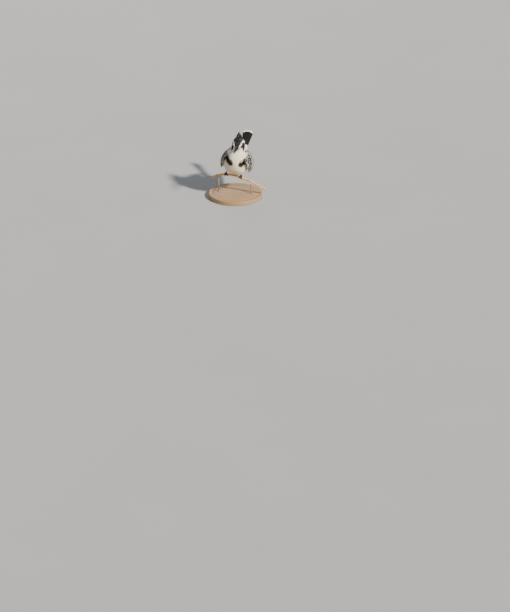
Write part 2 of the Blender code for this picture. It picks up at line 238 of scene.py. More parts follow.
# the body's ribs from the tail to the bill: back forward and height, belly forward and height, half width,
# share of the head's turn
bodyRibs = np.array([
    (-60.0, 41.5, -57.0, 32.0, 7.2, 0), (-53.0, 49.5, -46.0, 23.4, 14.5, 0),
    (-43.0, 57.5, -33.0, 14.4, 23.2, 0), (-31.0, 66.0, -15.0, 9.1, 29.9, 0),
    (-19.0, 74.6, 4.0, 7.5, 33.3, 0), (-9.5, 82.0, 21.5, 12.8, 32.8, 0),
    (-4.5, 88.4, 35.0, 27.7, 28.0, 0), (-3.5, 93.2, 40.5, 45.3, 22.2, 0),
    (-4.0, 98.0, 40.0, 58.6, 18.8, 0.1), (-5.5, 102.2, 37.0, 69.2, 17.2, 0.4),
    (-6.0, 106.3, 32.5, 77.2, 16.6, 0.8), (-3.0, 109.9, 30.0, 82.5, 16.2, 1),
    (4.5, 112.3, 31.5, 86.1, 15.6, 1), (15.5, 112.5, 35.0, 88.2, 14.5, 1),
    (27.0, 108.6, 38.5, 89.5, 12.2, 1), (36.0, 103.9, 41.5, 90.3, 9.0, 1),
    (41.0, 101.8, 43.0, 90.7, 6.7, 1),
])
# each rib of a wing: its upper, middle and lower point as forward, height, sideways
wingRibs = np.array([
    (25, 63.9, 23.6, 29, 56.4, 28, 27, 47.9, 30.4), (9, 73.5, 19.8, 13, 53.2, 35.2, 19, 31.9, 36.2),
    (-11, 74.5, 16.9, -8, 46.9, 40.5, 4, 17, 36.7), (-30, 66, 15.4, -30, 41.5, 39.6, -22, 11.7, 35.2),
    (-52, 56.4, 15.9, -54, 36.2, 32.8, -50, 11.7, 30.9), (-76, 41.5, 15.4, -80, 28.8, 25.6, -78, 14.9, 25.1),
    (-97, 30.9, 15, -101, 24, 17.9, -98, 17.6, 18.3),
])
tailShape = {
    "root": (-61.5, 36.2), "side": 2.0, "swing": math.radians(5), "length": 76.0, "rise": math.radians(40),
    "rootHalf": 7.0, "tipHalf": 12.2, "camber": 3.0,
}
billShape = {
    "root": (43.6, 96.3), "length": 58.0, "rise": math.radians(6),
    "half": 5.9, "upper": 6.0, "lower": 4.6, "tip": 0.35,
}
eyeShape = {
    "radius": 3.6, "forward": 27.0, "height": 101.2, "side": 10.4,
    "lid": 2.55, "lidOut": 2.45, "lidThick": 0.42,
}
coat = {"body": 1.7, "head": 1.1, "silk": {"thick": 0.07, "camber": 0.14}}  # the skin's depth under the tips


def turned(points, share):
    # turned and rolled level about the neck by a share of the head's turn
    share = np.asarray(share, float)
    turn, roll = pose["headTurn"] * share, pose["lean"] * share
    fore, height = points[..., 1] - pose["neck"][0], points[..., 2] - pose["neck"][1]
    side = points[..., 0] * np.cos(roll) - height * np.sin(roll)
    height = height * np.cos(roll) + points[..., 0] * np.sin(roll)
    turnedSide = side * np.cos(turn) + fore * np.sin(turn)
    turnedFore = fore * np.cos(turn) - side * np.sin(turn) + pose["neck"][0]
    return np.stack([turnedSide, turnedFore, height + pose["neck"][1]], -1)


def toWorld(points):
    # the stance's lean, then metres with the bird facing -Y
    lean = pose["lean"]
    x = points[..., 0] * math.cos(lean) + points[..., 2] * math.sin(lean) + pose["side"]
    z = points[..., 2] * math.cos(lean) - points[..., 0] * math.sin(lean) + pose["level"]
    return np.stack([x, -points[..., 1], z], -1) * mm


def bodyAt(t, angle):
    # an ellipse between the back's and the belly's curve, squarer on its belly half
    row = smoothRows(bodyRibs, t)
    backF, backZ, bellyF, bellyZ, half, turn = (row[..., k] for k in range(6))
    rise, side = np.cos(angle), np.sin(angle)
    power = 1 - 0.16 * (1 - turn) * (rise < 0)
    side = np.sign(side) * np.abs(side) ** power
    rise = np.sign(rise) * np.abs(rise) ** power
    fore = (backF + bellyF) / 2 + (backF - bellyF) / 2 * rise
    height = (backZ + bellyZ) / 2 + (backZ - bellyZ) / 2 * rise
    return toWorld(turned(np.stack([half * side, fore, height], -1), turn))


def wingAt(sign):
    # an arc through three points of each rib, from the wing's upper to its lower edge
    def surface(t, share):
        row = smoothRows(wingRibs, t)
        top, middle, low = row[..., 0:3], row[..., 3:6], row[..., 6:9]
        s = np.asarray(share, float)[..., None]
        bow = 2 * middle - (top + low) / 2
        arc = top * (1 - s) ** 2 + 2 * bow * s * (1 - s) + low * s**2
        return toWorld(np.stack([sign * arc[..., 2], arc[..., 0], arc[..., 1]], -1))
    return surface


def tailAt(share, across):
    # a cambered fan held level, share along it and across from -1 to 1
    length = share * tailShape["length"]
    half = tailShape["rootHalf"] + (tailShape["tipHalf"] - tailShape["rootHalf"]) * np.abs(share) ** 0.8
    drop = -tailShape["camber"] * across**2 * (1 - 0.4 * share)
    rise, swing = tailShape["rise"], tailShape["swing"]
    back = length * math.cos(rise) - drop * math.sin(rise)
    high = length * math.sin(rise) + drop * math.cos(rise)
    side = across * half
    turnedSide = side * math.cos(swing) + back * math.sin(swing)
    turnedBack = back * math.cos(swing) - side * math.sin(swing)
    level = high * math.cos(pose["lean"]) + turnedSide * math.sin(pose["lean"])
    aside = turnedSide * math.cos(pose["lean"]) - high * math.sin(pose["lean"]) + tailShape["side"]
    return toWorld(np.stack([aside, tailShape["root"][0] - turnedBack, tailShape["root"][1] + level], -1))


def normalOf(surface, t, s, flip=1.0):
    # the cross product of the surface's slopes along and across
    along = surface(t + 0.03, s) - surface(t - 0.03, s)
    across = surface(t, s + 0.02) - surface(t, s - 0.02)
    return flip * unit(np.cross(along, across))


def bodyNormal(t, angle):
    return normalOf(bodyAt, np.clip(t, 0.04, 15.96), angle)


def bodyMarks(t, angle):
    # how black (1) or white (0) the coat is, and how wide the pale fringes of its feathers are
    around = np.abs(np.pi - angle % (2 * np.pi))
    c = 1 - around / np.pi  # 0 on the back, 1 on the belly
    back = (1 - step(0.44, 0.50, c + 0.03 * np.sin(t * 5))) * step(0.7, 1.6, t)
    neckSide = 1 - step(0.36, 0.42, c)
    black = np.where(t < 8.5, back, neckSide)
    # the brow is the white stripe between the crown's edge and the mask's, closing behind the ear
    crownEdge = 0.325 - 0.045 * step(12.4, 14.4, t) + 0.10 * (1 - step(9.7, 11.9, t))
    maskEdge = 0.458 - 0.028 * (1 - step(9.7, 11.4, t)) - 0.055 * np.exp(-((t - 13.4) / 0.9) ** 2)
    cheekEdge = 0.70 + 0.04 * np.sin((t - 10.6) * 0.9) - 0.14 * step(14.2, 15.4, t)
    crown = (1 - step(-0.02, 0.02, c - crownEdge)) * step(9.5, 10.1, t)
    mask = step(-0.018, 0.012, c - maskEdge) * (1 - step(-0.02, 0.025, c - cheekEdge)) * step(8.6, 9.8, t)
    head = np.maximum(np.maximum(crown, mask), neckSide * (1 - step(9.8, 10.8, t)))
    black = np.where(t > 9.5, head, black)
    nape = (1 - step(0.40, 0.48, c)) * step(8.0, 8.6, t) * (1 - step(9.8, 10.4, t))
    # the broken band: a patch on each side of the breast, from a gap left of its middle to the shoulder
    left = np.pi - angle % (2 * np.pi) - 0.2
    far = np.abs(left)
    middle = 7.35 - 0.30 * far**2.2 - 0.27 * left
    wide = 0.64 * np.sqrt(np.clip((far - 0.2) / 0.35, 0, 1)) * (1 - 0.12 * step(1.0, 1.6, far))
    band = (far < 1.75) * (1 - step(wide - 0.14, wide + 0.03, np.abs(t - middle) + 0.04 * np.sin(far * 9)))
    black = np.maximum(np.maximum(black, nape), band)
    fringe = np.maximum(1.0 * (c < 0.5) * (t < 9.5), 0.44 * (c < 0.33) * (t > 9.5))
    return black, np.where(band > 0.3, 0.12, fringe)


def makeVanes(name, material, centre, normal, half, rootUV, marks,
              thick=0.12, camber=0.25, fine=False, tilt=0.0):
    # solid vanes: each ring across one is a flat lens, its points at shares of the half width to both
    # sides of the quill, raised by the thickness and the tilt less the camber's share squared
    count, rings = centre.shape[:2]
    tops = np.array([-1, -0.55, 0, 0.55, 1]) if fine else np.array([-1.0, 0, 1])
    unders = np.array([0.4, -0.4]) if fine else np.array([0.0])
    offsets = np.concatenate([tops, unders])
    lift = np.concatenate([1 - tops**2, -np.ones(len(unders))]) * thick * mm
    along = unit(np.gradient(centre, axis=1))
    side = unit(np.cross(along, normal))
    up = unit(np.cross(side, along))
    across = offsets[None, None, :, None]
    drop = (np.reshape(tilt, (-1, 1, 1, 1)) * across - camber * across**2) * half[..., None, None]
    points = centre[:, :, None] + side[:, :, None] * (half[..., None, None] * offsets[:, None])
    points = points + up[:, :, None] * (lift[:, None] + drop)
    sides = len(offsets)
    quads = gridFaces(rings, sides)
    caps = np.array([range(sides), range(sides)])
    caps[1] = caps[0] + (rings - 1) * sides
    caps[0] = caps[0][::-1]
    start = (np.arange(count) * rings * sides)[:, None, None]
    faces = (quads[None] + start).reshape(-1, 4).tolist() + (caps[None] + start).reshape(-1, sides).tolist()
    piece = makeMesh(name, points, faces, material)
    piece.data.set_sharp_from_angle(angle=math.radians(70))
    u = np.broadcast_to((offsets + 1) / 2, (count, rings, sides))
    v = np.broadcast_to(np.linspace(0, 1, rings)[None, :, None], (count, rings, sides))
    patch = 0.003  # each vane's own share of the baked map's width
    setUV(piece, "OFBake", rootUV[:, None, None] + (np.stack([u, v], -1) - 0.5) * patch)
    setUV(piece, "vane", np.stack([u, v], -1))
    for mark, values in marks.items():
        values = np.asarray(values, float)
        values = values[:, None] if values.ndim == 1 else values
        setAttribute(piece, mark, np.broadcast_to(values[:, :, None], (count, rings, sides)))
    return piece


def leafWidth(x, tip=0.5, root=0.35):
    # narrow at the root, widest past the middle, rounded at the tip
    rounding = 1 - np.clip((x - tip) / (1 - tip), 0, 1) ** 2.2
    return (root + (1 - root) * step(0, 0.5, x)) * np.sqrt(np.clip(rounding, 0.004, 1))


def shingles(t0, t1, gap, wide):
    # staggered rows along the body, gap apart down it and wide apart round each row, in millimetres
    t, sides = np.linspace(t0, t1, 400), 240
    middle = np.array([bodyAt(np.full(4, one), np.array([0.3, 1.9, 3.1, 4.6])) for one in t])
    lengths = np.linalg.norm(np.diff(middle, axis=0), axis=-1).max(axis=1)
    travelled = np.concatenate([[0], np.cumsum(lengths)]) / mm
    rows = np.interp(np.arange(0, travelled[-1], gap), travelled, t)
    spots = []
    for number, row in enumerate(rows):
        angle = np.linspace(0, 2 * np.pi, sides)
        ring = bodyAt(np.full(sides, row), angle)
        around = np.concatenate([[0], np.cumsum(np.linalg.norm(np.diff(ring, axis=0), axis=1))]) / mm
        count = max(3, round(around[-1] / wide))
        places = (np.arange(count) + 0.5 * (number % 2)) / count * around[-1]
        spots.append(np.stack([np.full(count, row), np.interp(places, around, angle)], 1))
    spots = np.concatenate(spots)
    jitter = rng.uniform(-0.5, 0.5, spots.shape)
    scale = np.array([(t1 - t0) / max(1, len(rows)) * 0.8, 0.0])
    return spots + jitter * scale + np.stack([0 * jitter[:, 0], jitter[:, 1] * 0.35 * wide / 30], 1)


def bodyVanes(name, material, spots, length, halfWidth, lifts, rings, sweep=0.0, body=None, **shape):
    # vanes whose quills run along the body's ribs, towards the tail
    t, angle = spots[:, 0], spots[:, 1]
    count = len(t)
    stepT = 0.05
    speed = np.linalg.norm(bodyAt(t + stepT, angle) - bodyAt(t - stepT, angle), axis=-1) / (2 * stepT) / mm
    reach = -length / np.maximum(speed, 2.0)
    x = np.linspace(0, 1, rings)
    pathT = np.clip(t[:, None] + reach[:, None] * x, -0.2, 15.95)
    pathA = angle[:, None] + (sweep + rng.normal(0, 0.035, count))[:, None] * x
    surface = bodyAt(pathT, pathA)
    normal = bodyNormal(pathT, pathA)
    low, high = lifts
    lift = low[:, None] + (high - low)[:, None] * x**0.8
    centre = surface + normal * (lift * mm)[..., None]
    half = halfWidth[:, None] * leafWidth(x, **shape)[None] * mm
    uv = np.stack([0.02 + 0.96 * (angle % (2 * np.pi)) / (2 * np.pi), 0.02 + 0.96 * t / 16], 1)
    black, fringe = bodyMarks(t, angle)
    dark = black[:, None] * 0.5 + bodyMarks(pathT, pathA)[0] * 0.5
    marks = {"dark": dark, "fringe": fringe, "tone": rng.uniform(0, 1, count)}
    return makeVanes(name, material, centre, normal, half, uv, marks, **(body or {}))


# the warm colour is painted warm reflected light on the lower coat, not a tint of the feathers
plumage = {
    "white": (0.86, 0.83, 0.76), "whiteShade": (0.76, 0.71, 0.61), "warmBounce": (0.80, 0.64, 0.42),
    "black": (0.006, 0.006, 0.007), "blackSheen": (0.019, 0.018, 0.018),
}


def plumageLook(name, barbs, rimWide, wrap, strength=0.35, bounceWarmth=0.0, sides=0.0):
    # black or white by the dark mark, less a pale fringe where v + wrap * side^2 passes the rim,
    # and less a thin line and a row of notches along both sides; the white takes painted warm reflected light
    # low down
    look = Look(name, Specular_IOR_Level=0.14, Sheen_Weight=0.06, Sheen_Roughness=0.5)
    u, v = look.uv("vane")
    side = abs(u - 0.5) * 2
    ribs = ((v * barbs - side * barbs * 0.35) * (2 * math.pi)).wave() * 0.5 + 0.5
    mottle = look.noise(900.0, 2.0)
    frayed = look.noise(2600.0, 2.0)
    rim = v + side * side * wrap + (frayed - 0.5) * 0.10
    notches = side.ramp(0.35, 0.60) * (v * 44.0 + mottle * 2.0).wave().ramp(0.35, 0.75)
    edge = rim.ramp(1.02 - rimWide, 1.06 - rimWide).atLeast(side.ramp(0.78, 0.88).atLeast(notches) * sides)
    dark = (look.attribute("dark") - edge * look.attribute("fringe") + (mottle - 0.5) * 0.12).ramp(0.34, 0.62)
    tone = look.attribute("tone")
    low = look.axes(look.place())[2]
    # painted warm reflected light: below 0.150 m the white blends towards the warm colour, fully from 0.068 m
    # down
    paintedBounce = (1 - low.ramp(0.068, 0.150)) * bounceWarmth
    pale = look.blend(mottle.ramp(0.3, 0.75) * 0.3 + tone * 0.3, plumage["white"], plumage["whiteShade"])
    pale = look.blend(paintedBounce, pale, plumage["warmBounce"])
    inky = look.blend(ribs * 0.35 + tone * 0.4, plumage["black"], plumage["blackSheen"])
    colour = look.blend(dark, pale, inky)
    quill = 1 - side.ramp(0.03, 0.10)
    height = ribs * 0.6 + frayed * 0.5 + quill * 0.8
    return look.finish(colour, 0.78 - ribs * 0.10, look.bump(height, strength, 0.00016))


def skinLook():
    look = Look("skinUnderCoat", Specular_IOR_Level=0.2)
    down = look.noise(1500.0, 3.0, stretch=(1.0, 0.5, 0.7))
    dark = (look.attribute("dark") + (down - 0.5) * 0.2).ramp(0.35, 0.65)
    pale = look.blend(down, plumage["white"], plumage["whiteShade"])
    inky = look.blend(down, plumage["black"], plumage["blackSheen"])
    return look.finish(look.blend(dark, pale, inky), 0.8, look.bump(down, 0.5, 0.0004))


# the breast coat's last number, 0.85, is how strongly its lower part takes the painted warm reflected light
softCoat = plumageLook("softCoat", 9.0, 0.10, 0.16, 0.14, 0.85)
headCoat = plumageLook("headCoat", 7.0, 0.16, 0.16, 0.25)
backCoat = plumageLook("backCoat", 14.0, 0.15, 0.30, 0.40)
flightCoat = plumageLook("flightCoat", 46.0, 0.04, 0.10, 0.30, 0.0, 0.8)
tailCoat = plumageLook("tailCoat", 46.0, 0.0, 0.0, 0.30)
skinCoat = skinLook()


def makeSkin():
    # the body's surface pushed in by the coat's depth, on a fine grid, closed with a cap at each end,
    # with the arms of the wings and the tail's root as closed shells in the same mesh
    rows, columns = 230, 150
    t, angle = grid(np.linspace(0.0, 16.0, rows), fullTurn(columns))
    depth = coat["body"] + (coat["head"] - coat["body"]) * step(8, 12, t)
    depth = depth * (1 - 0.9 * step(15.4, 16.0, t))
    body = bodyAt(t, angle) - bodyNormal(t, angle) * (depth * mm)[..., None]
    points, faces = [body.reshape(-1, 3)], gridFaces(rows, columns).tolist()
    faces += [list(range(columns))[::-1], list(range((rows - 1) * columns, rows * columns))]
    dark = [bodyMarks(t, angle)[0].ravel()]
    total = rows * columns
    for sign in (1, -1):
        surface = wingAt(sign)
        ribs, arc = 90, 24
        t, s = grid(np.linspace(0.05, 4.9, ribs), np.linspace(0.02, 0.98, arc))
        s = 0.5 + 0.12 * step(3.4, 4.9, t) + (s - 0.5) * (1 - 0.75 * step(3.4, 4.9, t))
        normal = normalOf(surface, t, s, -sign)
        thick = (0.9 + 2.2 * np.sin(np.pi * s) * (1 - t / 6.6)) * (1 - 0.7 * step(3.6, 4.9, t))
        outer = surface(t, s) - normal * (1.1 * mm)
        inner = surface(t, s) - normal * ((1.1 + thick) * mm)[..., None]
        ring = np.concatenate([outer, inner[:, ::-1]], axis=1)
        sides = ring.shape[1]
        quads = gridFaces(ribs, sides)
        caps = [np.arange(sides)[::-1], np.arange(sides) + (ribs - 1) * sides]
        quads = quads if sign < 0 else quads[:, ::-1]
        caps = caps if sign < 0 else [cap[::-1] for cap in caps]
        faces += (quads + total).tolist() + [(cap + total).tolist() for cap in caps]
        points.append(ring.reshape(-1, 3))
        under = 0.30 + 0.45 * step(1.6, 4.6, t)
        dark.append(np.concatenate([np.ones((ribs, arc)), under], axis=1).ravel())
        total += ribs * sides
    rows = 40
    reach = np.linspace(-0.12, 0.62, rows)
    share, across = grid(reach, np.linspace(-0.93, 0.93, 21))
    normal = normalOf(tailAt, share, across)
    half = (2.6 - 2.3 * step(-0.1, 0.62, share)) * np.sqrt(1 - (across * 0.98) ** 2) * mm
    upper = tailAt(share, across) + normal * half[..., None]
    lower = tailAt(share, across) - normal * half[..., None]
    ring = np.concatenate([upper, lower[:, ::-1]], axis=1)
    sides = ring.shape[1]
    first = np.arange(sides) + total
    faces += (gridFaces(rows, sides) + total).tolist()
    faces += [first[::-1].tolist(), (first + (rows - 1) * sides).tolist()]
    points.append(ring.reshape(-1, 3))
    dark.append(np.repeat(step(0.38, 0.44, reach), sides))
    piece = makeMesh("birdSkin", np.concatenate(points), faces, skinCoat)
    setAttribute(piece, "dark", np.concatenate(dark))
    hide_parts("trunk", "neck", "head",
                "wing_left", "wing_right", "primaries_left", "primaries_right")
    return piece


def keepSpots(spots, test):
    return spots[test(spots[:, 0], spots[:, 1])]


def fromBack(angle):
    # 0 on the back, 1 on the belly
    return np.minimum(angle % (2 * np.pi), 2 * np.pi - angle % (2 * np.pi)) / np.pi


bareEye = {"rib": 13.46, "along": 0.42, "fromBack": 0.47, "across": 0.088}  # no vanes grow here


def besideEye(t, angle):
    along = (t - bareEye["rib"]) / bareEye["along"]
    across = (fromBack(angle) - bareEye["fromBack"]) / bareEye["across"]
    return along**2 + across**2 > 1


def makeCoat():
    # belly, flanks and breast: long silky vanes
    spots = keepSpots(shingles(0.3, 9.3, 1.9, 1.8), lambda t, a: fromBack(a) > 0.42)
    count = len(spots)
    length = 9.0 - 2.2 * step(6, 9, spots[:, 0]) + rng.normal(0, 0.9, count)
    half = np.full(count, 1.55) + rng.normal(0, 0.15, count)
    lifts = (np.full(count, -coat["body"]), rng.uniform(-0.30, 0.20, count))
    silk = bodyVanes("coatBreast", softCoat, spots, length, half, lifts, 5, body=coat["silk"], tip=0.30)
    print("breast coat", count)
    # flanks and the sides of the breast: long loose vanes over the lower edge of each wing
    spots = keepSpots(shingles(4.2, 8.3, 3.0, 3.0), lambda t, a: (fromBack(a) > 0.49) & (fromBack(a) < 0.62))
    count = len(spots)
    lifts = (np.full(count, -1.2), rng.uniform(1.0, 2.6, count))
    length = 13.0 - 3.0 * step(6, 8.3, spots[:, 0]) + rng.normal(0, 0.8, count)
    sweep = -0.20 * np.sign(np.pi - spots[:, 1])
    half = np.full(count, 2.0)
    flank = bodyVanes("coatFlank", softCoat, spots, length, half, lifts, 6, sweep, coat["silk"], tip=0.30)
    # back, mantle and rump: broader vanes with pale fringes
    spots = keepSpots(shingles(0.3, 9.3, 3.3, 3.4), lambda t, a: fromBack(a) <= 0.5)
    count = len(spots)
    length = 9.5 - 2.0 * step(6, 9, spots[:, 0]) + rng.normal(0, 0.6, count)
    half = np.full(count, 2.7) - 0.6 * step(6.5, 9, spots[:, 0])
    lifts = (np.full(count, -1.5), rng.uniform(-0.1, 0.5, count))
    back = bodyVanes("coatBack", backCoat, spots, length, half, lifts, 6, tip=0.55)
    print("back coat", count)
    # head and neck: short fine vanes
    spots = keepSpots(shingles(8.8, 15.75, 1.35, 1.45), besideEye)
    count = len(spots)
    near = step(15.9, 13.0, spots[:, 0])
    length = 2.2 + 2.6 * near + rng.normal(0, 0.25, count)
    half = 0.62 + 0.45 * near
    lifts = (np.full(count, -coat["head"]), -0.45 + 0.5 * near + rng.uniform(-0.12, 0.12, count))
    head = bodyVanes("coatHead", headCoat, spots, length, half, lifts, 4, tip=0.35)
    print("head coat", count)


crest = {"tip": (0.0, -5.0, 126.0), "count": 260, "half": 0.85}


def makeCrest():
    # long narrow vanes from the crown, each on an arc that leaves the crown and gathers towards the tip
    count = crest["count"]
    t = rng.uniform(10.6, 14.4, count)
    spread = 0.62 - 0.10 * (t - 10.6) / 3.8
    angle = rng.uniform(-1, 1, count) * spread
    root = bodyAt(t, angle) - bodyNormal(t, angle) * (0.8 * mm)
    normal = bodyNormal(t, angle)
    tip = toWorld(turned(np.array(crest["tip"]), 1.0))
    share = rng.uniform(0.32, 0.98, count) * (1 - 0.38 * np.abs(angle) / 0.62)
    forward = step(13.0, 14.4, t)
    share = share * (1 - 0.62 * forward)
    end = root + (tip - root) * share[:, None] + rng.normal(0, 0.45 * mm, (count, 3))
    bend = (root + end) / 2 + normal * (1.6 * mm) + np.array([0, 0, 0.6 * mm])
    x = np.linspace(0, 1, 7)[None, :, None]
    centre = root[:, None] * (1 - x) ** 2 + 2 * bend[:, None] * x * (1 - x) + end[:, None] * x**2
    facing = unit(root - toWorld(turned(np.array([0.0, -1.0, 110.8]), 1.0)))[:, None] + 0 * x
    half = crest["half"] * leafWidth(np.linspace(0, 1, 7), 0.2, 0.6)[None] * np.ones((count, 1)) * mm
    uv = np.stack([0.05 + 0.9 * (angle + 0.62) / 1.24, 0.05 + 0.9 * (t - 10.6) / 3.8], 1)
    fringe = rng.choice([0.0, 0.55], count, p=[0.75, 0.25])
    marks = {"dark": np.ones(count), "fringe": fringe, "tone": rng.uniform(0, 1, count)}
    piece = makeVanes("crestVanes", headCoat, centre, facing, half, uv, marks, thick=0.14)
    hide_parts("crest")


# each row: vanes, root and end of its first and last vane as (rib, share down the wing), half width,
# lifts at root and tip, fringe, how far out from its root it is white, how uneven its ends are
wingRows = [
    ("secondaries", 12, (2.0, 0.28), (4.05, 0.12), (2.2, 0.93), (3.5, 0.97), 3.6, (-0.9, -0.3), 0.9, 0, 0.02),
    ("primaries", 10, (2.7, 0.42), (4.6, 0.06), (2.4, 0.91), (6, 0.64), 3.4, (-1.3, -0.9), 0.7, 0.42, 0.02),
    ("tertials", 4, (2.1, 0.02), (4.5, 0.03), (2.2, 0.22), (4.1, 0.2), 3.8, (-0.4, 0.2), 1, 0, 0.03),
    ("greaterCoverts", 15, (1.6, 0.06), (2.85, 0.08), (1.7, 0.94), (2.7, 0.96), 3.2, (-0.4, 0.3), 1, 0, 0.07),
    ("medianCoverts", 17, (1.25, 0.05), (2.25, 0.07), (1.3, 0.95), (2.15, 0.97),
     2.7, (-0.2, 0.6), 1, 0, 0.08),
    ("innerCoverts", 17, (0.95, 0.04), (1.8, 0.05), (1.0, 0.96), (1.75, 0.98), 2.5, (-0.2, 0.7), 1, 0, 0.08),
]


def wingRow(surface, sign, count, rootA, endA, rootB, endB, half, lifts, fringe, white, uneven):
    # vanes spread evenly from the row's first to its last, each bowed a little down the wing
    place = np.linspace(0, 1, count)[:, None]
    root = np.array(rootA) * (1 - place) + np.array(rootB) * place + rng.normal(0, 0.012, (count, 2))
    end = np.array(endA) * (1 - place) + np.array(endB) * place
    end = end + rng.normal(0, 1, end.shape) * np.array([uneven, 0.008])
    x = np.linspace(0, 1, 9)
    t = root[:, 0:1] + (end[:, 0:1] - root[:, 0:1]) * x
    s = root[:, 1:2] + (end[:, 1:2] - root[:, 1:2]) * x**1.15
    normal = normalOf(surface, t, s, -sign)
    lift = lifts[0] + (lifts[1] - lifts[0]) * x[None] + 0.35 * (1 - place)
    centre = surface(t, s) + normal * (lift * mm)[..., None]
    width = half * leafWidth(x, 0.7, 0.55)[None] * np.ones((count, 1)) * mm
    whiteEnd = white + rng.normal(0, 0.05, (count, 1)) * (white > 0)
    dark = step(whiteEnd - 0.09, whiteEnd + 0.09, x[None] + 0 * whiteEnd)
    uv = np.stack([0.02 + 0.96 * np.clip(root[:, 1], 0, 1), 0.02 + 0.96 * root[:, 0] / 6], 1)
    fringe = fringe * rng.uniform(0.45, 0.95, count)
    marks = {"dark": dark, "fringe": fringe, "tone": rng.uniform(0, 1, count)}
    return centre, normal, width, uv, marks


def smallCoverts(surface, sign):
    # staggered rows of little vanes from behind the wing's front edge over the wrist and the arm
    t, s = [], []
    for number, row in enumerate(np.arange(-0.16, 1.20, 0.135)):
        places = np.arange(0.03 + 0.034 * (number % 2), 0.98, 0.068)
        t.append(np.full(len(places), row))
        s.append(places)
    t, s = np.concatenate(t), np.concatenate(s)
    count = len(t)
    t = t + rng.normal(0, 0.02, count)
    x = np.linspace(0, 1, 5)
    pathT = t[:, None] + (0.38 + rng.normal(0, 0.03, count))[:, None] * x
    pathS = s[:, None] + rng.normal(0, 0.010, count)[:, None] * x
    normal = normalOf(surface, pathT, pathS, -sign)
    tucked = 2.2 * (1 - step(-0.16, 0.22, pathT))
    centre = surface(pathT, pathS) + normal * ((-0.5 + 1.15 * x - tucked) * mm)[..., None]
    width = 1.9 * leafWidth(x, 0.5, 0.5)[None] * np.ones((count, 1)) * mm
    uv = np.stack([0.02 + 0.96 * np.clip(s, 0, 1), 0.02 + 0.96 * np.clip(t, 0, 6) / 6], 1)
    fringe = rng.uniform(0.25, 0.9, count)
    marks = {"dark": np.ones(count), "fringe": fringe, "tone": rng.uniform(0, 1, count)}
    return centre, normal, width, uv, marks


flight = {"thick": 0.2, "camber": 0.05, "fine": True}  # stiff flat vanes of the wings and the tail


def makeWings():
    for side, sign in (("Left", 1), ("Right", -1)):
        surface = wingAt(sign)
        for name, *row in wingRows:
            centre, normal, width, uv, marks = wingRow(surface, sign, *row)
            look = flightCoat if name in ("primaries", "secondaries", "tertials") else backCoat
            piece = makeVanes(name + side, look, centre, normal, width, uv, marks, tilt=0.10 * sign, **flight)
        centre, normal, width, uv, marks = smallCoverts(surface, sign)
        piece = makeVanes("lesserCoverts" + side, backCoat, centre, normal, width, uv, marks, camber=0.15)
    print("wings")


liningRows = [
    ("flightUndersides", 12, (2.9, 0.12), (4.6, 0.1), (2.7, 0.9), (4.7, 0.82),
     3.4, (-3.3, -2.3), 0.5, 0, 0.03),
    ("liningCoverts", 14, (2.1, 0.1), (3.5, 0.1), (2.0, 0.92), (3.4, 0.92), 3.0, (-3.6, -3.6), 0, 1.4, 0.08),
]


def makeLining():
    # the same rows laid inside each wing's shell, with their outer sides towards the body
    for side, sign in (("Left", 1), ("Right", -1)):
        for name, *row in liningRows:
            centre, normal, width, uv, marks = wingRow(wingAt(sign), sign, *row)
            tilt = -0.10 * sign
            piece = makeVanes(name + side, flightCoat, centre, -normal, width, uv, marks, tilt=tilt, **flight)


def makeScapulars():
    # broad fringed vanes from the shoulders back, over the upper edge of each wing
    rows = []
    for sign in (1, -1):
        t, angle = grid(np.linspace(3.4, 8.3, 11), np.linspace(0.55, 1.28, 6))
        t = t + 0.22 * (np.arange(6) % 2)[None]
        rows.append(np.stack([t.ravel(), sign * angle.ravel()], 1))
    spots = np.concatenate(rows)
    spots = spots + rng.normal(0, 0.04, spots.shape)
    count = len(spots)
    lifts = (np.full(count, -0.9), rng.uniform(0.4, 1.0, count))
    length = 15.5 - 5.5 * step(6, 8.3, spots[:, 0]) + rng.normal(0, 0.8, count)
    half = 3.5 - 1.0 * step(6, 8.3, spots[:, 0])
    sweep = np.sign(spots[:, 1]) * 0.10
    piece = bodyVanes("scapulars", backCoat, spots, length, half, lifts, 8, sweep, tip=0.6)


def tailSpots(share, place):
    # blotches in columns along the tail, every other column half a step on
    return step(0.0, 0.3, np.sin(share * 42 + 3.1 * np.round(place * 3.5)))


